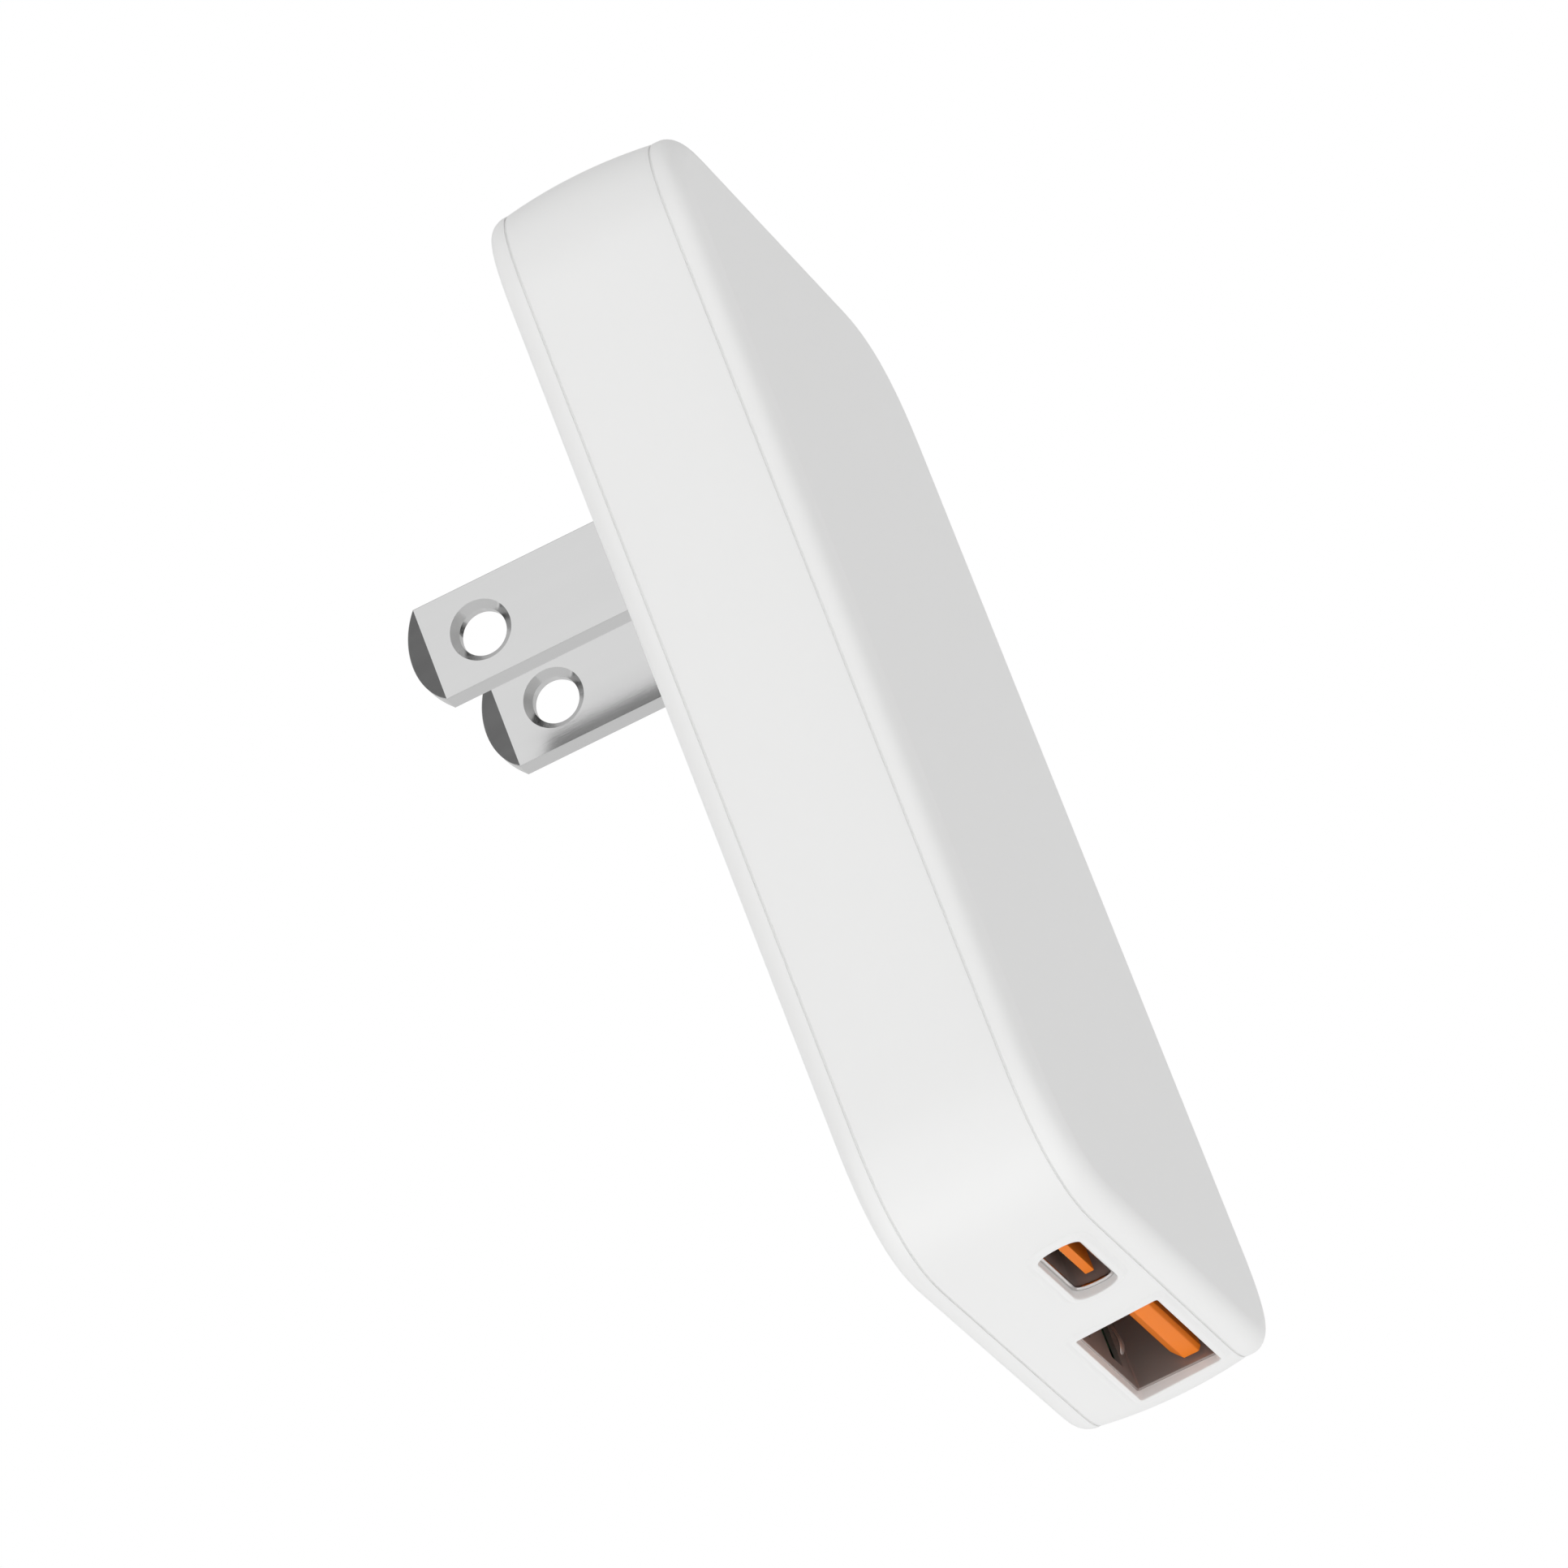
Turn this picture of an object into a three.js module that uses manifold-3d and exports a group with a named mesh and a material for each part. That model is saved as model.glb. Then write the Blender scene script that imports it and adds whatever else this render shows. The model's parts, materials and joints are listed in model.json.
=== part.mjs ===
// A slim two-port USB wall charger with a folding plug, in millimetres.
// Frame: X is the width, +Y points at the wall, +Z is up. The origin lies on the back face,
// midway between the blades and level with them.
import * as THREE from "three";
import { mergeVertices } from "three/addons/utils/BufferGeometryUtils.js";
import Module from "manifold-3d";

const wasm = await Module();
wasm.setup();

// ---------------------------------------------------------------- driving dimensions
const WIDTH = 42.9; // case, over the crown of its side walls
const LENGTH = 74.1; // case, from the bottom end to the top end
const TOP = 19.7; // height of the top end above the blades
const BOTTOM = TOP - LENGTH;
const MID_Z = (TOP + BOTTOM) / 2;
const CORNER = 9.2; // size of the soft corners seen from the front
const CORNER_POWER = 2.8; // 2 would be a true circle
const CROWN = 0.33; // swell of the side walls between the seams
const BACK_SEAM = -1.32;
const FRONT_SEAM = -10.98;
const FRONT = -12.7;
const SEAM = 0.24; // width of the groove between two shells
const WALL = 1.6;
const COVER = 1.3; // thickness of the flat of the rear cover
const FACE = 1.5; // thickness of the flat of the front cover
const FIT = 0.1; // play between flat neighbours
const LIP = 0.8; // thickness of the locating lips
const LIP_REACH = 3; // how far the rear lip stands into the mid frame

const AXIS_Y = -3.3; // fold axis of the plug
const AXIS_Z = -0.3;
const BLADE_PITCH = 12.7;
const BLADE_WIDTH = 6.35;
const BLADE_THICK = 1.5;
const BLADE_REACH = 16.2; // tip of the blade behind the back face
const SLOT_WIDTH = 2.5;
const SLOT_DEPTH = 7.1;
const HUB_RADIUS = 2.9;
const TRUNNION = 1.2;

const BOARD_BACK = -3.6;
const BOARD_FRONT = -4.6;
const BOARD_TOP = -7.5;
const BOARD_BOTTOM = -51.5;

const USB_A = { x: 7.2, y: -7.5, width: 12.5, height: 5.12, depth: 14 };
const USB_C = { x: -8.5, y: -8.24, width: 8.34, height: 2.56, depth: 7.5 };
const SHEET = 0.3; // sheet metal of the port shells
const PORT_MOUTH = BOTTOM + 0.5; // plane where the port shells begin

// ---------------------------------------------------------------- materials
const material = (color, roughness, metalness) =>
  new THREE.MeshStandardMaterial({ color, roughness, metalness });
const whitePlastic = () => material(0xf2f2f0, 0.35, 0);
const blackPlastic = () => material(0x1d1d1f, 0.55, 0);
const orangePlastic = () => material(0xef7d1f, 0.45, 0);
const nickel = () => material(0xc9c8c6, 0.3, 1);
const springMetal = () => material(0xc79a5b, 0.35, 1);
const ferrite = () => material(0x35363a, 0.75, 0);
const copper = () => material(0xb8622c, 0.4, 1);
const goldPlate = () => material(0xd9a94a, 0.3, 1);
const canMetal = () => material(0xb9bcc0, 0.35, 1);

// ---------------------------------------------------------------- solids
// A geometry as a manifold-3d solid.
function solid(geometry) {
  const bare = geometry.clone();
  bare.deleteAttribute("normal");
  bare.deleteAttribute("uv");
  const merged = mergeVertices(bare, 1e-4);
  return new wasm.Manifold(
    new wasm.Mesh({
      numProp: 3,
      vertProperties: merged.attributes.position.array,
      triVerts: new Uint32Array(merged.index.array),
    }),
  );
}

const join = (first, ...others) => others.reduce((sum, other) => sum.add(other), first);
const cut = (first, ...others) => others.reduce((rest, other) => rest.subtract(other), first);

// A block between two corners.
function block([x0, x1], [y0, y1], [z0, z1]) {
  const geometry = new THREE.BoxGeometry(x1 - x0, y1 - y0, z1 - z0);
  geometry.translate((x0 + x1) / 2, (y0 + y1) / 2, (z0 + z1) / 2);
  return solid(geometry);
}

// A rod along one axis: from and to are places on that axis, centre the other two coordinates.
function rod(axis, radius, [from, to], centre, sides = 24) {
  const geometry = new THREE.CylinderGeometry(radius, radius, to - from, sides);
  const middle = (from + to) / 2;
  if (axis === "x") {
    geometry.rotateZ(-Math.PI / 2);
    geometry.translate(middle, centre[0], centre[1]);
  } else if (axis === "y") {
    geometry.translate(centre[0], middle, centre[1]);
  } else {
    geometry.rotateX(Math.PI / 2);
    geometry.translate(centre[0], centre[1], middle);
  }
  return solid(geometry);
}

// A flat outline in Y and Z, given as [y, z] pairs or a Shape, drawn out along X.
function plateAlongX(outline, [x0, x1]) {
  const shape = outline instanceof THREE.Shape
    ? outline
    : new THREE.Shape(outline.map(([y, z]) => new THREE.Vector2(y, z)));
  const geometry = new THREE.ExtrudeGeometry(shape, { depth: x1 - x0, bevelEnabled: false });
  const toYZ = new THREE.Matrix4().set(0, 0, 1, x0, 1, 0, 0, 0, 0, 1, 0, 0, 0, 0, 0, 1);
  geometry.applyMatrix4(toYZ);
  return solid(geometry);
}

// A bent strip of sheet metal: its middle line in Y and Z, drawn out along X.
function strip(line, thickness, span) {
  const normal = (i) => {
    const [ya, za] = line[Math.max(i - 1, 0)];
    const [yb, zb] = line[Math.min(i + 1, line.length - 1)];
    const length = Math.hypot(yb - ya, zb - za);
    return [-(zb - za) / length, (yb - ya) / length];
  };
  const side = (sign) =>
    line.map(([y, z], i) => {
      const [ny, nz] = normal(i);
      return [y + (sign * ny * thickness) / 2, z + (sign * nz * thickness) / 2];
    });
  return plateAlongX([...side(1), ...side(-1).reverse()], span);
}

// The case outline, pulled in by an inset: four soft corners joined by straight sides.
function caseOutline(inset, steps = 7) {
  const radius = CORNER - inset;
  const centreX = WIDTH / 2 - CORNER;
  const centreZ = LENGTH / 2 - CORNER;
  const points = [];
  for (let corner = 0; corner < 4; corner += 1) {
    const signX = corner === 0 || corner === 3 ? 1 : -1;
    const signZ = corner < 2 ? 1 : -1;
    for (let i = 0; i <= steps; i += 1) {
      const turn = signX * signZ > 0 ? i / steps : 1 - i / steps;
      const along = Math.max(Math.cos((turn * Math.PI) / 2), 0) ** (2 / CORNER_POWER);
      const across = Math.sin((turn * Math.PI) / 2) ** (2 / CORNER_POWER);
      points.push([
        signX * (centreX + radius * along),
        MID_Z + signZ * (centreZ + radius * across),
      ]);
    }
  }
  return points;
}

// A solid through a stack of case outlines, each at its own y with its own inset, front first.
function stack(rings) {
  const count = caseOutline(0).length;
  const positions = [];
  const faces = [];
  rings.forEach(({ y, inset }) =>
    caseOutline(inset).forEach(([x, z]) => positions.push(x, y, z)),
  );
  for (let ring = 0; ring + 1 < rings.length; ring += 1) {
    for (let i = 0; i < count; i += 1) {
      const a = ring * count + i;
      const b = ring * count + ((i + 1) % count);
      faces.push(a, a + count, b, b, a + count, b + count);
    }
  }
  const last = (rings.length - 1) * count;
  for (let i = 1; i + 1 < count; i += 1) {
    faces.push(0, i, i + 1);
    faces.push(last, last + i + 1, last + i);
  }
  const geometry = new THREE.BufferGeometry();
  geometry.setAttribute("position", new THREE.Float32BufferAttribute(positions, 3));
  geometry.setIndex(faces);
  return solid(geometry);
}

const straight = (front, back, inset) =>
  stack([{ y: front, inset }, { y: back, inset }]);

// A quarter-round edge as stack rings: it starts at the flat face and ends at the side wall.
function edgeRings(face, depth, pull, base, steps = 4) {
  const rings = [];
  for (let i = 0; i <= steps; i += 1) {
    const turn = ((i / steps) * Math.PI) / 2;
    rings.push({
      y: face + depth * (1 - Math.cos(turn)),
      inset: base + pull * (1 - Math.sin(turn)),
    });
  }
  return rings;
}

// ---------------------------------------------------------------- scene graph helpers
const charger = new THREE.Group();

function meshOf(name, shape, surface) {
  const { numProp, vertProperties, triVerts } = shape.getMesh();
  const positions = new Float32Array((vertProperties.length / numProp) * 3);
  for (let i = 0; i < positions.length / 3; i += 1) {
    positions.set(vertProperties.subarray(i * numProp, i * numProp + 3), i * 3);
  }
  const geometry = new THREE.BufferGeometry();
  geometry.setAttribute("position", new THREE.BufferAttribute(positions, 3));
  geometry.setIndex(new THREE.BufferAttribute(new Uint32Array(triVerts), 1));
  geometry.computeVertexNormals();
  const mesh = new THREE.Mesh(geometry, surface);
  mesh.name = name;
  return mesh;
}

function groupAt(x, y, z, parent = charger) {
  const group = new THREE.Group();
  group.position.set(x, y, z);
  parent.add(group);
  return group;
}

const SIDES = [
  { side: -1, word: "left" },
  { side: 1, word: "right" },
];
// A span of x values on one side of the middle plane.
const spanOn = (side, near, far) => (side > 0 ? [near, far] : [-far, -near]);

// ---------------------------------------------------------------- case shells
const SLOT_NEAR = (BLADE_PITCH - SLOT_WIDTH) / 2;
const SLOT_FAR = (BLADE_PITCH + SLOT_WIDTH) / 2;
const SLOT_FOOT = -BLADE_WIDTH / 2 - 0.35;
const HUB_NEAR = 4.2;
const HUB_FAR = 8.5;
const HUB_PLAY = 0.3;
const HUB_WINDOW = 2.6; // half height of the window over a hub
const SLOTS_SPAN = 11; // the rear lip leaves this half width free for the blade well
const INNER = CROWN + WALL; // inset of the inside of the mid frame

function lipRing(y0, y1) {
  const outside = straight(y0, y1, INNER + FIT);
  return cut(outside, straight(y0 - 1, y1 + 1, INNER + FIT + LIP));
}

function rearCover() {
  const edge = edgeRings(0, BACK_SEAM + SEAM / 2, 0.96, CROWN);
  const plate = stack(edge.reverse());
  const lip = cut(
    lipRing(-LIP_REACH, -1),
    block([-SLOTS_SPAN, SLOTS_SPAN], [-LIP_REACH - 1, -COVER], [TOP - 6, TOP]),
  );
  const windows = SIDES.flatMap(({ side }) => [
    block(spanOn(side, SLOT_NEAR, SLOT_FAR), [-2, 1], [SLOT_FOOT, TOP + 1]),
    block(
      spanOn(side, HUB_NEAR - HUB_PLAY, HUB_FAR + HUB_PLAY),
      [-2, 1],
      [AXIS_Z - HUB_WINDOW, AXIS_Z + HUB_WINDOW],
    ),
  ]);
  return cut(join(plate, lip), ...windows);
}

const rimOf = (port, edge) => ({
  x: [port.x - port.width / 2 - edge, port.x + port.width / 2 + edge],
  y: [port.y - port.height / 2 - edge, port.y + port.height / 2 + edge],
});

// A port opening with rounded ends when round is true.
function portBlock(port, edge, [z0, z1], round) {
  const { x, y } = rimOf(port, edge);
  if (!round) return block(x, y, [z0, z1]);
  const radius = (y[1] - y[0]) / 2;
  return join(
    block([x[0] + radius, x[1] - radius], y, [z0, z1]),
    rod("z", radius, [z0, z1], [x[0] + radius, port.y], 32),
    rod("z", radius, [z0, z1], [x[1] - radius, port.y], 32),
  );
}

const PORTS = [
  { port: USB_A, round: false },
  { port: USB_C, round: true },
];
const APERTURE = 0.2; // plastic opening beyond the metal shell's inside
const RIM_WIDTH = 0.5;
const RIM_RISE = 0.22;

function midFrame() {
  const rings = [];
  const steps = 6;
  const front = FRONT_SEAM + SEAM / 2;
  const back = BACK_SEAM - SEAM / 2;
  for (let i = 0; i <= steps; i += 1) {
    const place = (2 * i) / steps - 1;
    rings.push({ y: front + (back - front) * (i / steps), inset: CROWN * place * place });
  }
  const rims = PORTS.map(({ port, round }) =>
    portBlock(port, APERTURE + RIM_WIDTH, [BOTTOM - RIM_RISE, BOTTOM + 1], round),
  );
  const rails = SIDES.map(({ side }) =>
    block(
      spanOn(side, 18.3, WIDTH / 2 - INNER + FIT),
      [BOARD_FRONT - FIT - 1, BOARD_FRONT - FIT],
      [BOARD_BOTTOM + 10, BOARD_TOP - 4],
    ),
  );
  const slots = SIDES.map(({ side }) =>
    block(spanOn(side, SLOT_NEAR, SLOT_FAR), [-SLOT_DEPTH, 0], [TOP - 4, TOP + 1]),
  );
  const openings = PORTS.flatMap(({ port, round }) => [
    portBlock(port, APERTURE, [BOTTOM - 1, BOTTOM + 3], round),
    portBlock(port, SHEET + 0.2, [PORT_MOUTH - 0.15, BOTTOM + 3], round),
  ]);
  const wall = cut(stack(rings), straight(front - 1, back + 1, INNER));
  return cut(join(wall, ...rims, ...rails), ...slots, ...openings);
}

function frontCover() {
  const rings = edgeRings(FRONT, 1.3, 1.46, CROWN);
  rings.push({ y: FRONT_SEAM - SEAM / 2, inset: CROWN });
  const plate = cut(
    stack(rings),
    straight(FRONT + FACE, FRONT_SEAM + 1, INNER + FIT + LIP),
  );
  const lip = cut(
    lipRing(FRONT + FACE - 0.2, FRONT_SEAM + 1.7),
    block([-15, 16], [FRONT_SEAM - SEAM / 2, 0], [BOTTOM, BOTTOM + 6]),
  );
  return join(plate, lip);
}

const housing = groupAt(0, 0, 0);
housing.add(
  meshOf("rear_cover", rearCover(), whitePlastic()),
  meshOf("mid_frame", midFrame(), whitePlastic()),
  meshOf("front_cover", frontCover(), whitePlastic()),
);

// ---------------------------------------------------------------- plug module
const POCKET = 4.1; // half height of the pivot pocket
const POCKET_WALL = 1.2;
const POCKET_X = HUB_FAR + 0.4;
const WELL_BACK = -COVER - FIT;
const WELL_TOP = TOP - INNER - 0.3;
const WELL_FLOOR = -SLOT_DEPTH - 0.9;
const EAR = { far: 11.6, z: -3.5, half: 1.8, stake: 0.6, x: 10.8 };

// The well holds the pivot pocket and one blade channel on each side.
function bladeWell() {
  const outer = POCKET_X + POCKET_WALL;
  const frame = block(
    [-outer, outer],
    [-SLOT_DEPTH, WELL_BACK],
    [-POCKET - POCKET_WALL, POCKET + POCKET_WALL],
  );
  const pocket = block([-POCKET_X, POCKET_X], [-SLOT_DEPTH - 1, 1], [-POCKET, POCKET]);
  const web = block([-SLOT_NEAR, SLOT_NEAR], [WELL_BACK - 1.2, WELL_BACK], [POCKET, WELL_TOP]);
  const channels = SIDES.map(({ side }) =>
    block(
      spanOn(side, SLOT_NEAR - POCKET_WALL, SLOT_FAR + POCKET_WALL),
      [WELL_FLOOR, WELL_BACK],
      [POCKET, WELL_TOP],
    ),
  );
  const ears = SIDES.map(({ side }) =>
    block(
      spanOn(side, POCKET_X, EAR.far),
      [-SLOT_DEPTH, WELL_BACK],
      [EAR.z - EAR.half, EAR.z + EAR.half],
    ),
  );
  const stakes = SIDES.map(({ side }) =>
    rod("y", EAR.stake, [WELL_FLOOR - 0.5, -SLOT_DEPTH + 1], [side * EAR.x, EAR.z]),
  );
  const slots = SIDES.flatMap(({ side }) => [
    block(spanOn(side, SLOT_NEAR, SLOT_FAR), [-SLOT_DEPTH, 0], [POCKET - 1, TOP]),
    block(
      spanOn(side, POCKET_X - 1, outer + 0.1),
      [-SLOT_DEPTH - 1, AXIS_Y],
      [AXIS_Z - TRUNNION - 0.15, AXIS_Z + TRUNNION + 0.15],
    ),
    rod("x", TRUNNION + 0.15, spanOn(side, POCKET_X - 1, outer + 0.1), [AXIS_Y, AXIS_Z]),
  ]);
  const body = cut(join(frame, web, ...channels, ...ears), pocket, ...slots);
  return join(body, ...stakes);
}

const RETAINER_TOP = -SLOT_DEPTH - FIT;

// The retainer closes the pocket from inside and carries the trunnions on two posts.
function pivotRetainer() {
  const plate = block(
    [-EAR.far, EAR.far],
    [RETAINER_TOP - 1, RETAINER_TOP],
    [-POCKET - POCKET_WALL, POCKET - 0.2],
  );
  const posts = SIDES.map(({ side }) =>
    block(
      spanOn(side, POCKET_X + 0.15, POCKET_X + POCKET_WALL - 0.15),
      [RETAINER_TOP - 0.5, AXIS_Y - TRUNNION - FIT],
      [AXIS_Z - TRUNNION + 0.1, AXIS_Z + TRUNNION - 0.1],
    ),
  );
  const holes = SIDES.flatMap(({ side }) => [
    block(spanOn(side, SLOT_NEAR, SLOT_FAR), [RETAINER_TOP - 2, RETAINER_TOP + 1], [-3.6, 2.2]),
    rod("y", EAR.stake + 0.15, [RETAINER_TOP - 2, RETAINER_TOP + 1], [side * EAR.x, EAR.z]),
  ]);
  return cut(join(plate, ...posts), ...holes);
}

// An arch of thin sheet whose crest stands close to the flats of the carrier's cam.
function detentSpring() {
  const line = [];
  const steps = 10;
  for (let i = 0; i <= steps; i += 1) {
    const place = (2 * i) / steps - 1;
    line.push([RETAINER_TOP + 0.25 + 1.35 * (1 - place * place), AXIS_Z + 3.2 * place]);
  }
  return strip(line, 0.25, [-2, 2]);
}

// A contact leaf: the crest stands just clear of the tang of a blade, the tail of the board.
function contactSpring() {
  const line = [
    [RETAINER_TOP - 1.5, 1.7],
    [RETAINER_TOP - 0.6, 1.3],
    [RETAINER_TOP, 0.4],
    [RETAINER_TOP, -0.8],
    [RETAINER_TOP - 0.6, -1.8],
    [RETAINER_TOP - 1.35, -3],
    [RETAINER_TOP - 1.35, -7.7],
    [BOARD_FRONT - 0.3, -8.3],
  ];
  return strip(line, 0.3, [-0.9, 0.9]);
}

housing.add(
  meshOf("blade_well", bladeWell(), whitePlastic()),
  meshOf("pivot_retainer", pivotRetainer(), whitePlastic()),
  meshOf("detent_spring", detentSpring(), springMetal()),
);
SIDES.forEach(({ side, word }) => {
  const spring = meshOf(`contact_spring_${word}`, contactSpring(), springMetal());
  spring.position.x = (side * BLADE_PITCH) / 2;
  housing.add(spring);
});

// ---------------------------------------------------------------- folding plug
// Drawn about the fold axis: in the plug group y is the reach and z the width of a blade.
const plug = groupAt(0, AXIS_Y, AXIS_Z);
const REACH = BLADE_REACH - AXIS_Y;
const TIP_BEVEL = 1.35;
const BLADE_LOW = -BLADE_WIDTH / 2 - AXIS_Z;
const BLADE_HIGH = BLADE_WIDTH / 2 - AXIS_Z;
const TANG = { length: 3.3, half: 1.2 };
const HOLE = { reach: 11.4 - AXIS_Y, radius: 1.5, chamfer: 0.45 };

// A plug with widened ends: cut from a blade, it leaves a hole countersunk on both faces.
function bladeHole() {
  const half = BLADE_THICK / 2;
  const wide = HOLE.radius + HOLE.chamfer + 0.05;
  const deep = half + 0.05;
  const profile = [
    [0, -deep],
    [wide, -deep],
    [HOLE.radius, -half + HOLE.chamfer],
    [HOLE.radius, half - HOLE.chamfer],
    [wide, deep],
    [0, deep],
  ];
  const geometry = new THREE.LatheGeometry(
    profile.map(([r, h]) => new THREE.Vector2(r, h)),
    32,
  );
  geometry.rotateZ(-Math.PI / 2);
  geometry.translate(0, HOLE.reach, -AXIS_Z);
  return solid(geometry);
}

function blade() {
  const shoulder = REACH - TIP_BEVEL;
  const outline = new THREE.Shape();
  outline.moveTo(-TANG.length, -TANG.half);
  outline.lineTo(0, -TANG.half);
  outline.lineTo(0, BLADE_LOW);
  outline.lineTo(shoulder, BLADE_LOW);
  const halfWidth = BLADE_WIDTH / 2;
  const arcRadius = (halfWidth * halfWidth + TIP_BEVEL * TIP_BEVEL) / (2 * TIP_BEVEL);
  const sweep = Math.asin(halfWidth / arcRadius);
  outline.absarc(REACH - arcRadius, -AXIS_Z, arcRadius, -sweep, sweep, false);
  outline.lineTo(0, BLADE_HIGH);
  outline.lineTo(0, TANG.half);
  outline.lineTo(-TANG.length, TANG.half);
  const flat = plateAlongX(outline, [-BLADE_THICK / 2, BLADE_THICK / 2]);
  const half = BLADE_THICK / 2;
  const edge = 0.3; // half thickness left at the tip
  const taper = new THREE.ExtrudeGeometry(
    new THREE.Shape([
      new THREE.Vector2(-half - 1, -5),
      new THREE.Vector2(half + 1, -5),
      new THREE.Vector2(half + 1, shoulder - 1),
      new THREE.Vector2(half, shoulder),
      new THREE.Vector2(edge, REACH),
      new THREE.Vector2(edge, REACH + 1),
      new THREE.Vector2(-edge, REACH + 1),
      new THREE.Vector2(-edge, REACH),
      new THREE.Vector2(-half, shoulder),
      new THREE.Vector2(-half - 1, shoulder - 1),
    ]),
    { depth: 12, bevelEnabled: false },
  );
  taper.translate(0, 0, -6);
  return cut(flat.intersect(solid(taper)), bladeHole());
}

function bladeCarrier() {
  const flats = 1.35; // half size of the square cam between the hubs
  const cam = rod("x", 1.7, [-HUB_NEAR, HUB_NEAR], [0, 0], 32).intersect(
    block([-HUB_NEAR, HUB_NEAR], [-flats, flats], [-flats, flats]),
  );
  const ends = SIDES.flatMap(({ side }) => [
    rod("x", HUB_RADIUS, spanOn(side, HUB_NEAR, HUB_FAR), [0, 0], 32),
    rod("x", TRUNNION, spanOn(side, HUB_FAR, POCKET_X + POCKET_WALL - 0.05), [0, 0]),
  ]);
  const half = BLADE_THICK / 2 + FIT;
  const middle = BLADE_PITCH / 2;
  const slots = SIDES.flatMap(({ side }) => [
    block(spanOn(side, middle - half, middle + half), [-FIT, 4], [-4, 4]),
    block(
      spanOn(side, middle - half, middle + half),
      [-4, FIT],
      [-TANG.half - FIT, TANG.half + FIT],
    ),
  ]);
  return cut(join(cam, ...ends), ...slots);
}

plug.add(meshOf("blade_carrier", bladeCarrier(), whitePlastic()));
SIDES.forEach(({ side, word }) => {
  const mesh = meshOf(`blade_${word}`, blade(), nickel());
  mesh.position.x = (side * BLADE_PITCH) / 2;
  plug.add(mesh);
});

// ---------------------------------------------------------------- ports
// Each port is drawn in a group at the middle of its mouth, with +Z running into the case.
function shellOf(port, round) {
  const local = { ...port, x: 0, y: 0 };
  const outer = portBlock(local, SHEET, [0, port.depth], round);
  return cut(outer, portBlock(local, 0, [-1, port.depth - SHEET], round));
}

function usbAShell() {
  const { width, height, depth } = USB_A;
  const reach = [2.6, 7.4];
  const windows = [-3.1, 3.1].map((x) =>
    block([x - 1.1, x + 1.1], [height / 2 - 1, height / 2 + 1], reach),
  );
  const sideWindow = block([-width, width], [-0.9, 0.9], [3, 7]);
  return cut(shellOf(USB_A, false), ...windows, sideWindow);
}

// The tongue stands nearer the front wall; its end is thinned on the contact side.
const A_TONGUE = { half: 5.8, low: -1.95, high: -0.11, start: 0.4, root: 9.6 };

function usbATongue() {
  const { half, low, high, start, root } = A_TONGUE;
  const tongue = plateAlongX(
    [
      [low, start + 0.25],
      [low + 0.2, start],
      [high - 0.65, start],
      [high, start + 0.75],
      [high, root + 0.5],
      [low, root + 0.5],
    ],
    [-half, half],
  );
  const { width, height, depth } = USB_A;
  const base = block(
    [-width / 2 + FIT, width / 2 - FIT],
    [-height / 2 + FIT, height / 2 - FIT],
    [root, depth - SHEET - FIT],
  );
  return join(tongue, base);
}

const A_CONTACT_START = 1.8; // contacts begin behind the thinned end of the tongue

// Four contact strips joined by a bar that lies against the insulator's base.
function usbAContacts() {
  const { high, start, root } = A_TONGUE;
  const level = [high + FIT, high + FIT + 0.2];
  const strips = [-3.5, -1, 1, 3.5].map((x) =>
    block([x - 0.5, x + 0.5], level, [start + A_CONTACT_START, root - 0.3]),
  );
  return join(block([-4.2, 4.2], level, [root - 0.8, root - 0.3]), ...strips);
}

const C_TONGUE = { half: 3.35, thick: 0.3, start: 0.4, root: 5.3 };

function usbCTongue() {
  const { half, thick, start, root } = C_TONGUE;
  const { width, height, depth } = USB_C;
  const base = { x: 0, y: 0, width: width - 2 * FIT, height: height - 2 * FIT };
  return join(
    block([-half, half], [-thick, thick], [start, root + 0.5]),
    portBlock(base, 0, [root, depth - SHEET - FIT], true),
  );
}

function usbCContacts() {
  const { thick, start, root } = C_TONGUE;
  const level = [thick + FIT, thick + FIT + 0.12];
  const strips = [];
  for (let i = 0; i < 12; i += 1) {
    const x = (i - 5.5) * 0.5;
    strips.push(block([x - 0.13, x + 0.13], level, [start + 0.5, root - 0.2]));
  }
  return join(block([-3, 3], level, [root - 0.6, root - 0.2]), ...strips);
}

const portA = groupAt(USB_A.x, USB_A.y, PORT_MOUTH);
portA.add(
  meshOf("usb_a_shell", usbAShell(), nickel()),
  meshOf("usb_a_tongue", usbATongue(), orangePlastic()),
  meshOf("usb_a_contacts", usbAContacts(), goldPlate()),
);
const portC = groupAt(USB_C.x, USB_C.y, PORT_MOUTH);
portC.add(
  meshOf("usb_c_shell", shellOf(USB_C, true), nickel()),
  meshOf("usb_c_tongue", usbCTongue(), orangePlastic()),
  meshOf("usb_c_contacts", usbCContacts(), goldPlate()),
);

// ---------------------------------------------------------------- boards
const TRANSFORMER = { x: 0, z: -24.3, width: 17, height: 13, endTurns: 1.6 };
const BOARD_HALF = 18.6;

function mainBoard() {
  const board = block(
    [-BOARD_HALF, BOARD_HALF],
    [BOARD_FRONT, BOARD_BACK],
    [BOARD_BOTTOM, BOARD_TOP],
  );
  const notch = 3;
  const corners = SIDES.map(({ side }) =>
    block(
      spanOn(side, BOARD_HALF - notch, BOARD_HALF + 1),
      [BOARD_FRONT - 1, BOARD_BACK + 1],
      [BOARD_BOTTOM - 1, BOARD_BOTTOM + notch],
    ),
  );
  const { x, z, width, height, endTurns } = TRANSFORMER;
  const reach = height / 2 + endTurns + 0.3;
  const window = block(
    [x - width / 2 - 0.4, x + width / 2 + 0.4],
    [BOARD_FRONT - 1, BOARD_BACK + 1],
    [z - reach, z + reach],
  );
  return cut(board, ...corners, window);
}

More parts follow.
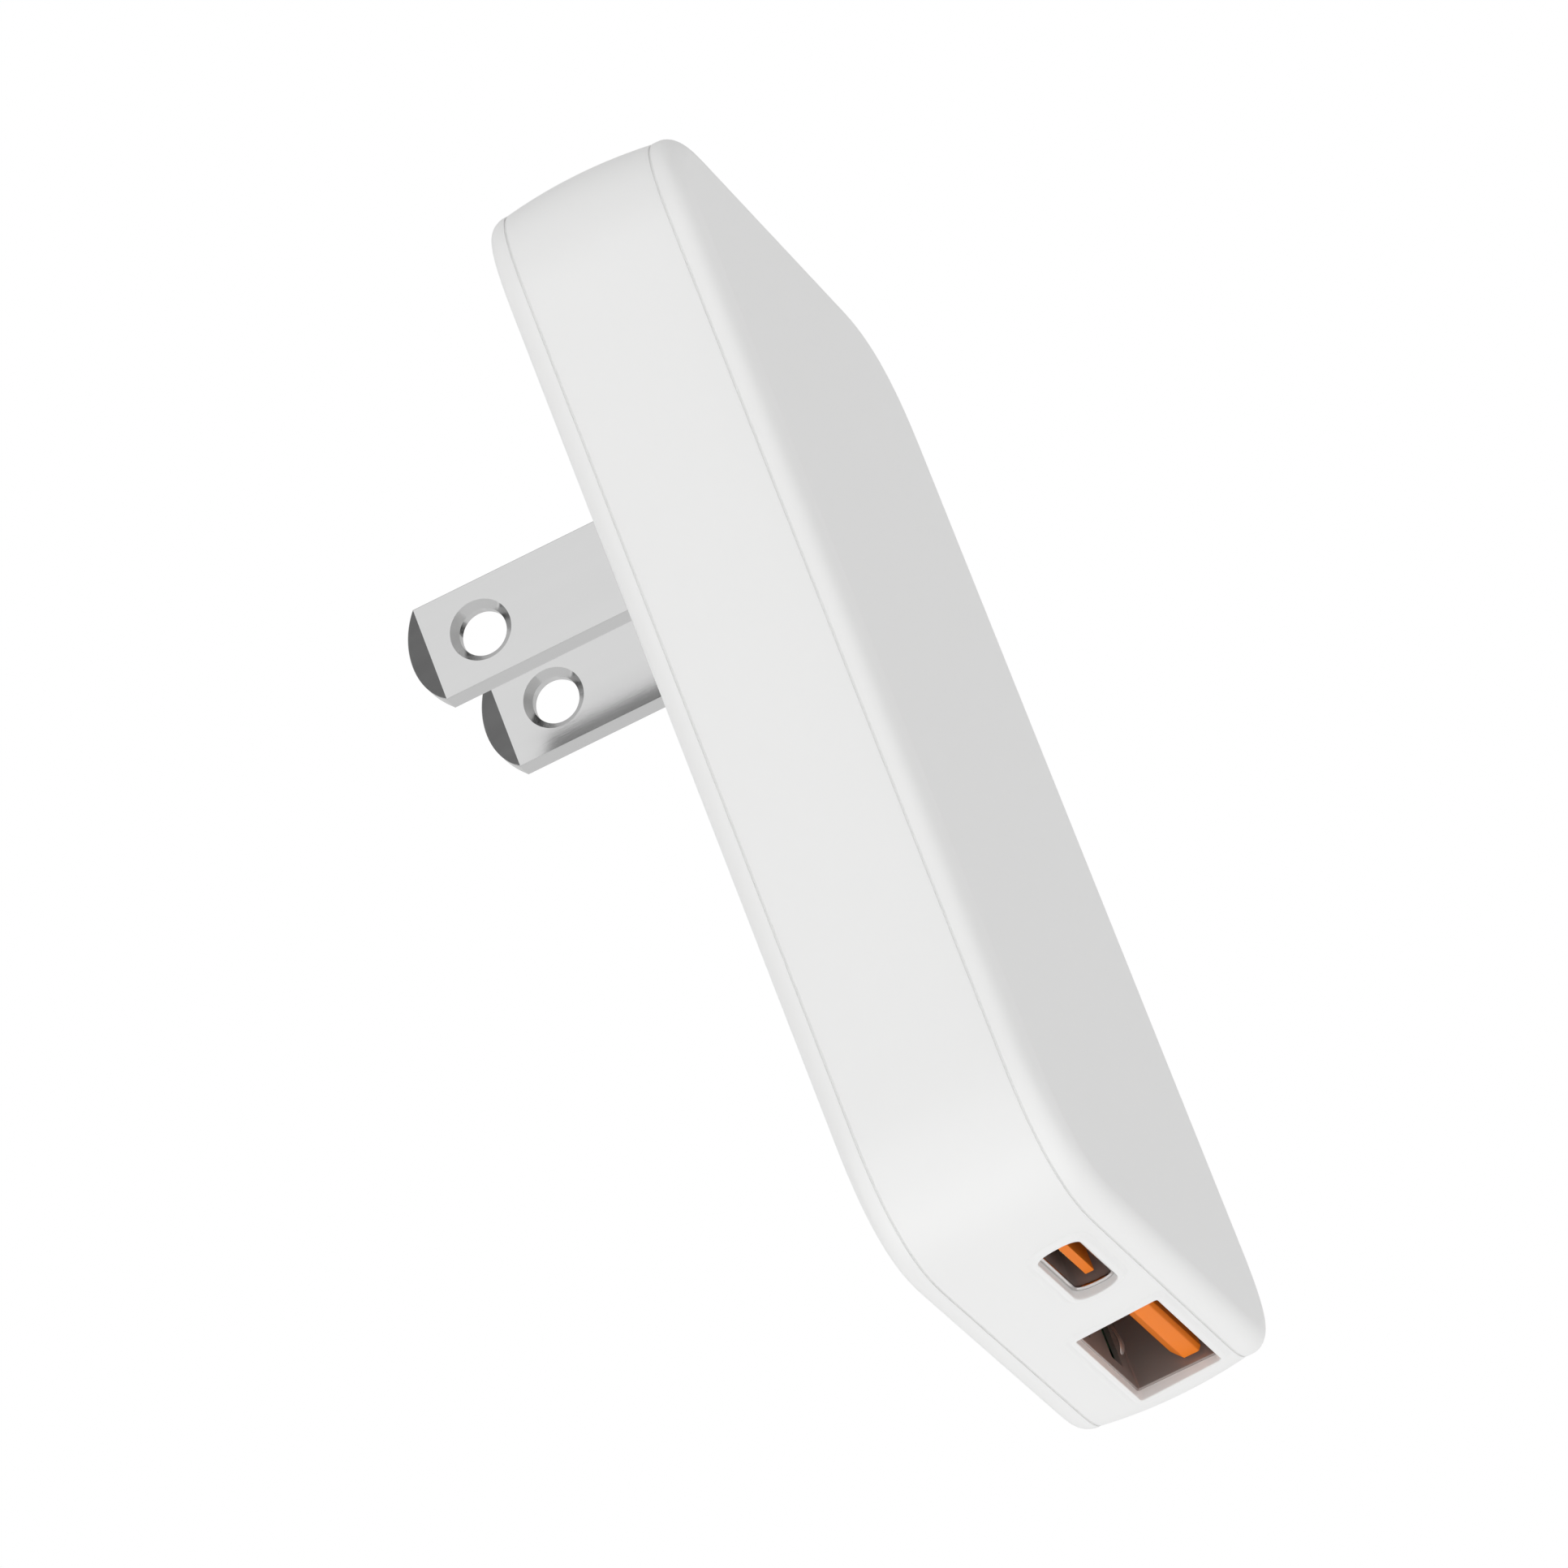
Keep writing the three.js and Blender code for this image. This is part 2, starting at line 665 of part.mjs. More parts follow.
// The small board that lifts the USB-C receptacle off the main board, with its solder pins.
function usbCBoard() {
  const board = block([-13.4, -3.6], [-6.4, -5.7], [BOARD_BOTTOM, BOARD_BOTTOM + 11]);
  const pins = [-12.4, -10.4, -6.6, -4.6].map((x) =>
    rod("y", 0.35, [-5.9, BOARD_FRONT - FIT], [x, BOARD_BOTTOM + 10], 12),
  );
  return join(board, ...pins);
}

const boards = groupAt(0, 0, 0);
boards.add(
  meshOf("main_board", mainBoard(), material(0x1f5a3a, 0.5, 0)),
  meshOf("usb_c_board", usbCBoard(), material(0x1f5a3a, 0.5, 0)),
);

// ---------------------------------------------------------------- transformer
const CORE_BACK = -2;
const CORE_FRONT = -10.2;
const CORE_SPLIT = (CORE_BACK + CORE_FRONT) / 2;
const CORE_PLATE = 1.6;

// One half of the ferrite core: a plate with two outer legs and a centre leg.
function coreHalf(plateY, tipY) {
  const { width, height } = TRANSFORMER;
  const low = Math.min(plateY, tipY);
  const high = Math.max(plateY, tipY);
  const inward = Math.sign(tipY - plateY);
  const whole = block([-width / 2, width / 2], [low, high], [-height / 2, height / 2]);
  const plateEnd = plateY + inward * CORE_PLATE;
  const room = [Math.min(plateEnd, tipY + inward), Math.max(plateEnd, tipY + inward)];
  const gaps = SIDES.map(({ side }) =>
    block(spanOn(side, 2.4, width / 2 - 1.8), room, [-height, height]),
  );
  return cut(whole, ...gaps);
}

function transformerWinding() {
  const { width, height, endTurns } = TRANSFORMER;
  const outer = width / 2 - 1.8 - FIT;
  const low = CORE_FRONT + CORE_PLATE + FIT;
  const high = CORE_BACK - CORE_PLATE - FIT;
  const reach = height / 2 + endTurns;
  const hole = height / 2 + FIT;
  const body = block([-outer, outer], [low, high], [-reach, reach]);
  const centre = block([-2.4 - FIT, 2.4 + FIT], [low - 1, high + 1], [-hole, hole]);
  return cut(body, centre);
}

const transformer = groupAt(TRANSFORMER.x, 0, TRANSFORMER.z);
transformer.add(
  meshOf("transformer_core_rear", coreHalf(CORE_BACK, CORE_SPLIT + 0.05), ferrite()),
  meshOf("transformer_core_front", coreHalf(CORE_FRONT, CORE_SPLIT - 0.05), ferrite()),
  meshOf("transformer_winding", transformerWinding(), material(0xd8a531, 0.5, 0)),
);

// ---------------------------------------------------------------- parts on the board
const ON_FRONT = BOARD_FRONT - FIT;
const ON_BACK = BOARD_BACK + FIT;

// A chip package lying on the board: direction is -1 on the front face and 1 on the back.
function chip(name, { x, z, width, length, height, legs, direction }) {
  const group = groupAt(x, direction < 0 ? ON_FRONT : ON_BACK, z);
  const span = (from, to) => (direction > 0 ? [from, to] : [-to, -from]);
  const body = block([-width / 2, width / 2], span(0.15, height), [-length / 2, length / 2]);
  const feet = [];
  for (let i = 0; i < legs; i += 1) {
    const place = ((i + 0.5) / legs - 0.5) * length * 0.9;
    feet.push(block([-width / 2 - 0.8, width / 2 + 0.8], span(0, 0.4), [place - 0.2, place + 0.2]));
  }
  group.add(meshOf(name, join(body, ...feet), blackPlastic()));
}

chip("bridge_rectifier", { x: -12, z: -14, width: 6.4, length: 7, height: 1.7, legs: 2, direction: 1 });
chip("power_switch", { x: -14, z: -22, width: 5, length: 6, height: 1, legs: 4, direction: -1 });
chip("primary_controller", { x: -14, z: -26, width: 4, length: 5, height: 1.4, legs: 4, direction: 1 });
chip("optocoupler", { x: 14, z: -33, width: 4.6, length: 4.4, height: 2.1, legs: 2, direction: 1 });
chip("sync_rectifier", { x: 3, z: -36.2, width: 5, length: 4, height: 1, legs: 4, direction: 1 });
chip("protocol_chip", { x: -4, z: -41, width: 4, length: 4, height: 0.9, legs: 5, direction: 1 });

// An aluminium can with a crimped waist, standing along its own axis from z = 0.
function canSolid(radius, length) {
  const waist = 1.4;
  const profile = [
    [0, 0],
    [radius - 0.2, 0],
    [radius, 0.25],
    [radius, waist - 0.4],
    [radius - 0.35, waist],
    [radius, waist + 0.4],
    [radius, length - 0.5],
    [radius - 0.5, length],
    [0, length],
  ];
  const geometry = new THREE.LatheGeometry(
    profile.map(([r, h]) => new THREE.Vector2(r, h)),
    28,
  );
  geometry.rotateX(Math.PI / 2);
  return solid(geometry);
}

// The storage capacitors lie beside the blade well; their leads run down to the board.
const BULK = { radius: 4, length: 10, x: 14, y: -6.35, z: 5.6, pitch: 3.5 };

function bulkCapacitor() {
  const down = BOARD_TOP - 1.3 - BULK.z;
  const leads = [-0.5, 0.5].flatMap((place) => [
    rod("z", 0.3, [down - 0.3, 0.5], [place * BULK.pitch, 0], 10),
    rod("y", 0.3, [0, ON_FRONT - BULK.y], [place * BULK.pitch, down], 10),
  ]);
  return join(canSolid(BULK.radius, BULK.length), ...leads);
}

SIDES.forEach(({ side, word }) => {
  const group = groupAt(side * BULK.x, BULK.y, BULK.z);
  group.add(meshOf(`bulk_capacitor_${word}`, bulkCapacitor(), canMetal()));
});

// The output capacitors stand on the front face of the board.
[-14.6, -7.6].forEach((x, i) => {
  const group = groupAt(x, ON_FRONT, -37.2);
  const can = meshOf(`output_capacitor_${i + 1}`, canSolid(3.15, 5.6), canMetal());
  can.rotation.x = Math.PI / 2;
  group.add(can);
});

// The common-mode choke: a flat ferrite ring with a winding over each half.
const CHOKE = { x: -12.6, z: -14, y: -7.6, inner: 2, outer: 4, half: 1.5, wire: 0.5 };

function ringSolid(inner, outer, half, start, sweep, segments) {
  const corners = [
    [inner, -half],
    [outer, -half],
    [outer, half],
    [inner, half],
    [inner, -half],
  ].map(([r, h]) => new THREE.Vector2(r, h));
  if (sweep >= Math.PI * 2) {
    return solid(new THREE.LatheGeometry(corners, segments, 0, Math.PI * 2));
  }
  const shape = new THREE.Shape();
  shape.absarc(0, 0, outer, start, start + sweep, false);
  shape.absarc(0, 0, inner, start + sweep, start, true);
  const geometry = new THREE.ExtrudeGeometry(shape, {
    depth: half * 2,
    bevelEnabled: false,
    curveSegments: segments,
  });
  geometry.translate(0, 0, -half);
  geometry.rotateX(-Math.PI / 2);
  return solid(geometry);
}

const choke = groupAt(CHOKE.x, CHOKE.y, CHOKE.z);
choke.add(
  meshOf(
    "choke_core",
    ringSolid(CHOKE.inner, CHOKE.outer, CHOKE.half, 0, Math.PI * 2, 28),
    ferrite(),
  ),
);
SIDES.forEach(({ side, word }) => {
  const { inner, outer, half, wire } = CHOKE;
  const sweep = Math.PI * 0.72;
  const start = side > 0 ? -sweep / 2 : Math.PI - sweep / 2;
  const sleeve = ringSolid(inner - wire, outer + wire, half + wire, start, sweep, 16);
  const room = ringSolid(inner - FIT, outer + FIT, half + FIT, 0, Math.PI * 2, 28);
  choke.add(meshOf(`choke_winding_${word}`, cut(sleeve, room), copper()));
});

// Small single pieces on the front face.
function boxedPart(name, { x, z, width, height, length, surface }) {
  const group = groupAt(x, ON_FRONT, z);
  const body = block([-width / 2, width / 2], [-height, -0.4], [-length / 2, length / 2]);
  const feet = [-1, 1].map((place) =>
    rod("y", 0.3, [-0.6, 0], [0, place * (length / 2 - 1)], 10),
  );
  group.add(meshOf(name, join(body, ...feet), surface));
}

boxedPart("x_capacitor", {
  x: 0,
  z: -12.2,
  width: 4.6,
  height: 5.6,
  length: 7.2,
  surface: material(0xd9b13a, 0.5, 0),
});
boxedPart("y_capacitor", {
  x: 13.4,
  z: -25.5,
  width: 3,
  height: 5.4,
  length: 6.2,
  surface: material(0x3a6fb0, 0.5, 0),
});
boxedPart("input_fuse", {
  x: 10.6,
  z: -13,
  width: 3.4,
  height: 4.2,
  length: 5.4,
  surface: material(0x6b4a2c, 0.5, 0),
});

// ---------------------------------------------------------------- sheets
const sheets = groupAt(0, 0, 0);
const PAD_FRONT = CORE_FRONT - 0.45;
const PLATE_FRONT = FRONT + FACE + FIT;
sheets.add(
  meshOf(
    "insulating_barrier",
    block([-16.8, 16.8], [CORE_FRONT, ON_FRONT], [-33.2, -32.8]),
    material(0xe9e4cf, 0.5, 0),
  ),
  meshOf(
    "thermal_pad",
    block([-8.3, 8.3], [PAD_FRONT, CORE_FRONT - 0.05], [-30.8, -17.2]),
    material(0x8fa3b8, 0.8, 0),
  ),
  meshOf(
    "heat_spreader",
    block([-15, 15], [PLATE_FRONT, PAD_FRONT - 0.05], [-36, -9.5]),
    material(0xc4c7ca, 0.35, 1),
  ),
);

export default charger;
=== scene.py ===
"""The looks of a slim USB wall charger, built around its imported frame: smooth case shells, sockets,
plug blades and procedural materials. Everything is in metres, in the frame of the CAD part."""
import json
import math

import bmesh
import bpy
from mathutils import Matrix, Vector


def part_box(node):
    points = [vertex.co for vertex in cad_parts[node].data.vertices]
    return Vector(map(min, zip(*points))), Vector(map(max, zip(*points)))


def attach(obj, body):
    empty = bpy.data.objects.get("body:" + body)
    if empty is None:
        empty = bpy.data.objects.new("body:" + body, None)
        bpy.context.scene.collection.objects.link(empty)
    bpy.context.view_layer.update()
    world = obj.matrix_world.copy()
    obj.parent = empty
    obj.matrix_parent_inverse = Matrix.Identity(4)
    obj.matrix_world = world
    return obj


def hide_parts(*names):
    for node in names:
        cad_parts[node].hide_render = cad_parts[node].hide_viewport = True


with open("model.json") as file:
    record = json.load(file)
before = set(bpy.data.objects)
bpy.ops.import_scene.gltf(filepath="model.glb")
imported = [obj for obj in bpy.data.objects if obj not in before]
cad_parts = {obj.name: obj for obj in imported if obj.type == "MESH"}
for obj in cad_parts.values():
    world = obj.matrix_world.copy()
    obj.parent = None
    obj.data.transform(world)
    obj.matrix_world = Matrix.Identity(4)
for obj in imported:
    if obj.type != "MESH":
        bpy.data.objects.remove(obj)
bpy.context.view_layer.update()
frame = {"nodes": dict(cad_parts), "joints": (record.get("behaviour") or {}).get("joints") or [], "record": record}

MM = 0.001
CASE = "charger_case"
PLUG = "folding_plug"

# ------------------------------------------------------------------ sizes, taken from the frame
MID_LOW, MID_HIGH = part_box("mid_frame")
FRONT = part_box("front_cover")[0].y
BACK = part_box("rear_cover")[1].y
HALF_WIDTH = MID_HIGH.x
TOP = MID_HIGH.z
RIM_RISE = 0.22 * MM
BOTTOM = MID_LOW.z + RIM_RISE
HALF_LENGTH = (TOP - BOTTOM) / 2
MID_Z = (TOP + BOTTOM) / 2
SEAM_SHIFT = 0.06 * MM  # keeps each seam centred where the CAD has it
FRONT_EDGE = MID_LOW.y - SEAM_SHIFT  # front edge of the mid frame
BACK_EDGE = MID_HIGH.y + SEAM_SHIFT
SEAM = 0.12 * MM  # the shells meet closer to the eye than in the CAD, which leaves them play
CORNER = 9.2 * MM
CORNER_POWER = 2.8
CROWN = 0.33 * MM
WALL = 1.6 * MM
FACE = 1.5 * MM
COVER = 1.3 * MM
GROOVE = 0.1 * MM  # depth of the seam grooves
EDGE = 0.04 * MM  # small rounding along the seams
FRONT_FILLET = 1.3 * MM  # how deep the rounded edge of the front cover is
FRONT_PULL = 1.46 * MM  # how far that edge reaches in over the face
REAR_PULL = 0.96 * MM
LIP_RELIEF = 0.4 * MM  # the inside of a cover leans in by this much
FILLET_STEPS = 14
EDGE_STEPS = 3

# ------------------------------------------------------------------ sizes of the plug
AXIS = Vector(frame["joints"][0]["pos_m"])
SLOT_DEPTH = 7.1 * MM
SLOT_PLAY = 0.5 * MM  # room on each side of a folded blade
SLOT_FOOT = 0.35 * MM  # a slot runs on below its blade by this much
SLOT_CORNER = 0.5 * MM
HUB_MARGIN = 1.2 * MM  # a hub's window is wider than the slot by this much on each side
HUB_WINDOW = 2.6 * MM  # half height of that window
TIP_BEVEL = 1.35 * MM
TIP_EDGE = 0.3 * MM  # half thickness left at the tip of a blade
TANG_HALF = 1.2 * MM
BLADE_HOLE = 11.4 * MM  # middle of the hole, behind the back face
HOLE_RADIUS = 1.5 * MM
HOLE_CHAMFER = 0.45 * MM

# ------------------------------------------------------------------ sizes of the sockets
PORT_SHEET = 0.3 * MM  # sheet metal of the shells
PORT_MARGIN = 0.12 * MM  # plastic opening beyond the inside of the shell
PORT_CORNER = 0.12 * MM
END_DEPTH_C = 0.95 * MM  # bulge of the short ends of the USB-C opening
END_POWER = 2.4  # 2 would be a true ellipse
LEAF_X = 3.1 * MM  # spring leaves, either side of the middle of the USB-A socket
LEAF_HALF_SHEET = 0.1 * MM
LEAF_LINE = (  # level above the mouth, dip into the socket and half width, in millimetres
    (6.6, 0.0, 0.8), (5.2, -0.12, 0.8), (3.6, -0.45, 0.72),
    (2.3, -0.78, 0.62), (1.7, -0.8, 0.5), (1.2, -0.5, 0.36),
)


# ------------------------------------------------------------------ mesh helpers
def make_object(name, vertices, faces):
    mesh = bpy.data.meshes.new(name)
    mesh.from_pydata([tuple(v) for v in vertices], [], faces)
    mesh.validate()
    obj = bpy.data.objects.new(name, mesh)
    bpy.context.scene.collection.objects.link(obj)
    face_outwards(obj)
    return obj


def face_outwards(obj):
    bm = bmesh.new()
    bm.from_mesh(obj.data)
    bmesh.ops.recalc_face_normals(bm, faces=bm.faces)
    bm.to_mesh(obj.data)
    bm.free()


def settle(obj):
    """Replaces the object's mesh by what its modifiers make of it."""
    bpy.context.view_layer.update()
    graph = bpy.context.evaluated_depsgraph_get()
    mesh = bpy.data.meshes.new_from_object(obj.evaluated_get(graph))
    obj.modifiers.clear()
    obj.data = mesh
    return obj


def boolean(obj, other, operation):
    step = obj.modifiers.new("cut", "BOOLEAN")
    step.operation = operation
    step.solver = "EXACT"
    step.object = other
    settle(obj)
    bpy.data.objects.remove(other)
    return obj


def smooth(obj, angle=32):
    obj.data.shade_smooth()
    obj.data.set_sharp_from_angle(angle=math.radians(angle))
    flats = obj.modifiers.new("flats", "WEIGHTED_NORMAL")
    flats.keep_sharp = True
    return settle(obj)


def soften_edges(obj, chosen, width, segments=3):
    """Rounds the sharp edges whose two ends both satisfy chosen(point)."""
    bm = bmesh.new()
    bm.from_mesh(obj.data)
    edges = [
        e for e in bm.edges
        if len(e.link_faces) == 2
        and e.calc_face_angle(0) > math.radians(50)
        and all(chosen(v.co) for v in e.verts)
    ]
    bmesh.ops.bevel(
        bm, geom=edges, offset=width, segments=segments, profile=0.5,
        affect="EDGES", clamp_overlap=True,
    )
    bm.to_mesh(obj.data)
    bm.free()
    return obj


def loft(name, rings, closed=False, caps=True):
    """A surface through rings of points, each ring a closed loop with the same count.
    closed joins the last ring to the first; otherwise caps closes both ends."""
    count = len(rings[0])
    vertices = [p for ring in rings for p in ring]
    faces = []
    links = len(rings) if closed else len(rings) - 1
    for r in range(links):
        a, b = r * count, ((r + 1) % len(rings)) * count
        for i in range(count):
            j = (i + 1) % count
            faces.append((a + i, a + j, b + j, b + i))
    if caps and not closed:
        faces.append(tuple(reversed(range(count))))
        last = (len(rings) - 1) * count
        faces.append(tuple(range(last, last + count)))
    return make_object(name, vertices, faces)


def rounding(start, finish, corner, steps=4):
    """Points of a quarter ellipse from start to finish that bulges towards corner."""
    (ax, ay), (bx, by), (cx, cy) = start, finish, corner
    points = []
    for i in range(steps + 1):
        turn = math.pi / 2 * i / steps
        s, c = math.sin(turn), math.cos(turn)
        points.append((ax + (bx - cx) * (1 - c) + (cx - ax) * s,
                       ay + (by - cy) * (1 - c) + (cy - ay) * s))
    return points


# ------------------------------------------------------------------ case shells
def case_outline(inset, corner_steps=22, run_step=1.2 * MM):
    """The case seen from the front, pulled in by inset: soft corners and evenly cut straight runs."""
    radius = CORNER - inset
    centre_x, centre_z = HALF_WIDTH - CORNER, HALF_LENGTH - CORNER
    corners = []
    for sign_x, sign_z in ((1, 1), (-1, 1), (-1, -1), (1, -1)):
        arc = []
        for i in range(corner_steps + 1):
            share = i / corner_steps
            turn = math.pi / 2 * (share if sign_x * sign_z > 0 else 1 - share)
            along = max(math.cos(turn), 0) ** (2 / CORNER_POWER)
            across = max(math.sin(turn), 0) ** (2 / CORNER_POWER)
            arc.append((sign_x * (centre_x + radius * along),
                        MID_Z + sign_z * (centre_z + radius * across)))
        corners.append(arc)
    points = []
    for arc, following in zip(corners, corners[1:] + corners[:1]):
        points += arc
        (xa, za), (xb, zb) = arc[-1], following[0]
        pieces = round(2 * (centre_x if zb == za else centre_z) / run_step)
        for i in range(1, pieces):
            share = i / pieces
            points.append((xa + (xb - xa) * share, za + (zb - za) * share))
    return points


def case_loft(name, profile, closed=False, caps=True):
    rings = [[(x, y, z) for x, z in case_outline(inset)] for y, inset in profile]
    return loft(name, rings, closed, caps)


def crown_inset(y):
    place = 2 * (y - FRONT_EDGE) / (BACK_EDGE - FRONT_EDGE) - 1
    return CROWN * place * place


def rounded_box(name, low, high, radius, steps=6, axis="z"):
    """A bar along axis, y or z, whose section is a rounded rectangle."""
    u, v, w = {"y": (2, 0, 1), "z": (0, 1, 2)}[axis]
    section = rounded_rectangle(
        (low[u] + high[u]) / 2, (low[v] + high[v]) / 2,
        (high[u] - low[u]) / 2, (high[v] - low[v]) / 2, radius, steps,
    )
    rings = []
    for level in (low[w], high[w]):
        ring = []
        for a, b in section:
            point = [0, 0, 0]
            point[u], point[v], point[w] = a, b, level
            ring.append(tuple(point))
        rings.append(ring)
    return loft(name, rings)


def rounded_rectangle(cx, cy, half_x, half_y, radius, steps=8):
    points = []
    for sign_x, sign_y, start in ((1, 1, 0), (-1, 1, 90), (-1, -1, 180), (1, -1, 270)):
        for i in range(steps + 1):
            turn = math.radians(start + 90 * i / steps)
            points.append((cx + sign_x * (half_x - radius) + radius * math.cos(turn),
                           cy + sign_y * (half_y - radius) + radius * math.sin(turn)))
    return points


def slot_of(side):
    """Two corners of the slot that a blade folds into, at the width of the slot."""
    low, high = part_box(f"blade_{side}")
    return (Vector((low.x - SLOT_PLAY, low.y, low.z - SLOT_FOOT)),
            Vector((high.x + SLOT_PLAY, high.y, high.z)))


SLOTS = [slot_of("left"), slot_of("right")]


def build_mid_frame():
    steps = 28
    profile = []
    for i in range(steps + 1):
        y = FRONT_EDGE + EDGE + (BACK_EDGE - FRONT_EDGE - 2 * EDGE) * i / steps
        profile.append((y, crown_inset(y)))
    reach = SEAM + 0.02 * MM  # the tongue of the mid frame closes the seam from behind
    inner = CROWN + WALL
    back_lip = (BACK_EDGE, CROWN + EDGE)
    profile += rounding(profile[-1], back_lip, (BACK_EDGE, CROWN), EDGE_STEPS)[1:]
    profile += [
        (BACK_EDGE, CROWN + GROOVE),
        (BACK_EDGE + reach, CROWN + GROOVE),
        (BACK_EDGE + reach, inner),
        (FRONT_EDGE - reach, inner),
        (FRONT_EDGE - reach, CROWN + GROOVE),
        (FRONT_EDGE, CROWN + GROOVE),
    ]
    front_lip = (FRONT_EDGE, CROWN + EDGE)
    profile += rounding(front_lip, profile[0], (FRONT_EDGE, CROWN), EDGE_STEPS)[:-1]
    shell = case_loft("case_mid_frame", profile, closed=True)
    behind_rim = 0.3 * MM  # the rim's own wall lines the opening
    for port in (PORT_A, PORT_C):
        grow = port.aperture + behind_rim
        opening = port.block("opening", grow, BOTTOM - MM, BOTTOM + 4 * MM)
        boolean(shell, opening, "DIFFERENCE")
    for low, high in SLOTS:
        start = Vector((low.x, -SLOT_DEPTH, TOP - 4 * MM))
        end = Vector((high.x, MM, TOP + MM))
        boolean(shell, rounded_box("slot", start, end, 0.2 * MM), "DIFFERENCE")
    return smooth(shell)


def build_front_cover():
    edge = FRONT_EDGE - SEAM
    flat = CROWN + FRONT_PULL
    # the broad face is hollowed by about a hundredth of a millimetre
    profile = [(FRONT + 0.012 * MM, flat + 6 * MM), (FRONT + 0.004 * MM, flat + 2 * MM)]
    profile += rounding((FRONT, flat), (FRONT + FRONT_FILLET, CROWN), (FRONT, CROWN), FILLET_STEPS)
    profile += [(edge - EDGE, CROWN)]
    profile += rounding(profile[-1], (edge, CROWN + EDGE), (edge, CROWN), EDGE_STEPS)[1:]
    profile += [(edge, CROWN + WALL), (FRONT + FACE, CROWN + WALL + LIP_RELIEF)]
    return smooth(case_loft("case_front_cover", profile))


def build_rear_cover():
    edge = BACK_EDGE + SEAM
    flat = CROWN + REAR_PULL
    profile = [(BACK, flat + 4 * MM)]
    profile += rounding((BACK, flat), (edge + EDGE, CROWN), (BACK, CROWN), FILLET_STEPS)
    profile += rounding((edge + EDGE, CROWN), (edge, CROWN + EDGE), (edge, CROWN), EDGE_STEPS)[1:]
    profile += [(edge, CROWN + WALL), (BACK - COVER, CROWN + WALL + LIP_RELIEF)]
    shell = case_loft("case_rear_cover", profile)
    for low, high in SLOTS:
        slot = (Vector((low.x, -3 * MM, low.z)), Vector((high.x, MM, TOP + 3 * MM)))
        window = (
            Vector((low.x - HUB_MARGIN, -3 * MM, AXIS.z - HUB_WINDOW)),
            Vector((high.x + HUB_MARGIN, MM, AXIS.z + HUB_WINDOW)),
        )
        for start, end in (slot, window):
            boolean(shell, rounded_box("cutter", start, end, SLOT_CORNER, axis="y"), "DIFFERENCE")
    soften_edges(shell, lambda p: abs(p.y - BACK) < 1e-6 and abs(p.x) < 10 * MM, 0.16 * MM)
    return smooth(shell)


# ------------------------------------------------------------------ sockets
class Port:
    """A socket in the bottom end: its place, the inside of its metal shell and its plastic opening."""

    def __init__(self, name, end_depth):
        low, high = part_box(f"{name}_shell")
        self.name = name
        self.centre = (low + high) / 2
        self.half_x = (high.x - low.x) / 2 - PORT_SHEET
        self.half_y = (high.y - low.y) / 2 - PORT_SHEET
        self.end_depth = end_depth
        self.mouth = low.z
        self.depth = high.z - low.z
        self.aperture = PORT_MARGIN

    def outline(self, grow, steps=12):
        """The opening widened by grow: sharp corners, or ends that bulge by end_depth."""
        if not self.end_depth:
            return rounded_rectangle(
                self.centre.x, self.centre.y, self.half_x + grow, self.half_y + grow,
                PORT_CORNER + grow, steps,
            )
        points = []
        depth, half = self.end_depth + grow, self.half_y + grow
        straight = self.half_x - self.end_depth
        for sign, start in ((1, -90), (-1, 90)):
            for i in range(2 * steps + 1):
                turn = math.radians(start + 90 * i / steps)
                bulge = abs(math.cos(turn)) ** (2 / END_POWER)
                height = math.copysign(abs(math.sin(turn)) ** (2 / END_POWER), math.sin(turn))
                points.append((self.centre.x + sign * (straight + depth * bulge),
                               self.centre.y + half * height))
        return points

    def block(self, name, grow, low, high):
        return loft(name, [[(x, y, z) for x, y in self.outline(grow)] for z in (low, high)])


PORT_A = Port("usb_a", 0)
PORT_C = Port("usb_c", END_DEPTH_C)


def build_rim(port):
    """The soft raised moulding round a socket and the wall of its opening."""
    width, crest, lip = 0.72 * MM, 0.26 * MM, 0.1 * MM
    profile = [(0, -(port.mouth - BOTTOM) - 0.05 * MM)]
    profile += rounding((0, RIM_RISE - lip), (lip, RIM_RISE), (0, RIM_RISE), 5)
    steps = 10
    for i in range(1, steps + 1):
        share = i / steps
        fall = (1 + math.cos(math.pi * share)) / 2
        profile.append((crest + (width - crest) * share, RIM_RISE * fall))
    profile += [(width + 0.04 * MM, -0.12 * MM), (0.5 * MM, -0.5 * MM), (0.3 * MM, profile[0][1])]
    rings = []
    for out, height in profile:
        rings.append([
            (x, y, BOTTOM + crown_inset(y) - height) for x, y in port.outline(port.aperture + out)
        ])
    return smooth(loft(f"{port.name}_rim", rings, closed=True), 40)


def build_port_shell(port):
    """The sheet metal shell of a socket, closed at its inner end."""
    sheet, mouth, depth = PORT_SHEET, port.mouth, port.depth
    nose = 0.12 * MM  # rounding of the metal at the mouth
    profile = [(0, depth - sheet), (0, nose)]
    profile += rounding((0, nose), (nose, 0), (0, 0), 5)[1:]
    profile += rounding((sheet - nose, 0), (sheet, nose), (sheet, 0), 5)
    profile += [(sheet, depth)]
    rings = [
        [(x, y, mouth + level) for x, y in port.outline(out)] for out, level in profile
    ]
    return loft(f"{port.name}_metal_shell", rings)


def build_mouth_ring(port):
    """The bright drawn lip at the mouth of a socket shell."""
    reach = 0.16 * MM
    sides = 10
    rings = []
    for i in range(sides):
        turn = 2 * math.pi * i / sides
        level = port.mouth + 0.02 * MM + reach * math.sin(turn)
        rings.append([(x, y, level) for x, y in port.outline(reach * math.cos(turn))])
    return smooth(loft(f"{port.name}_mouth_ring", rings, closed=True), 60)


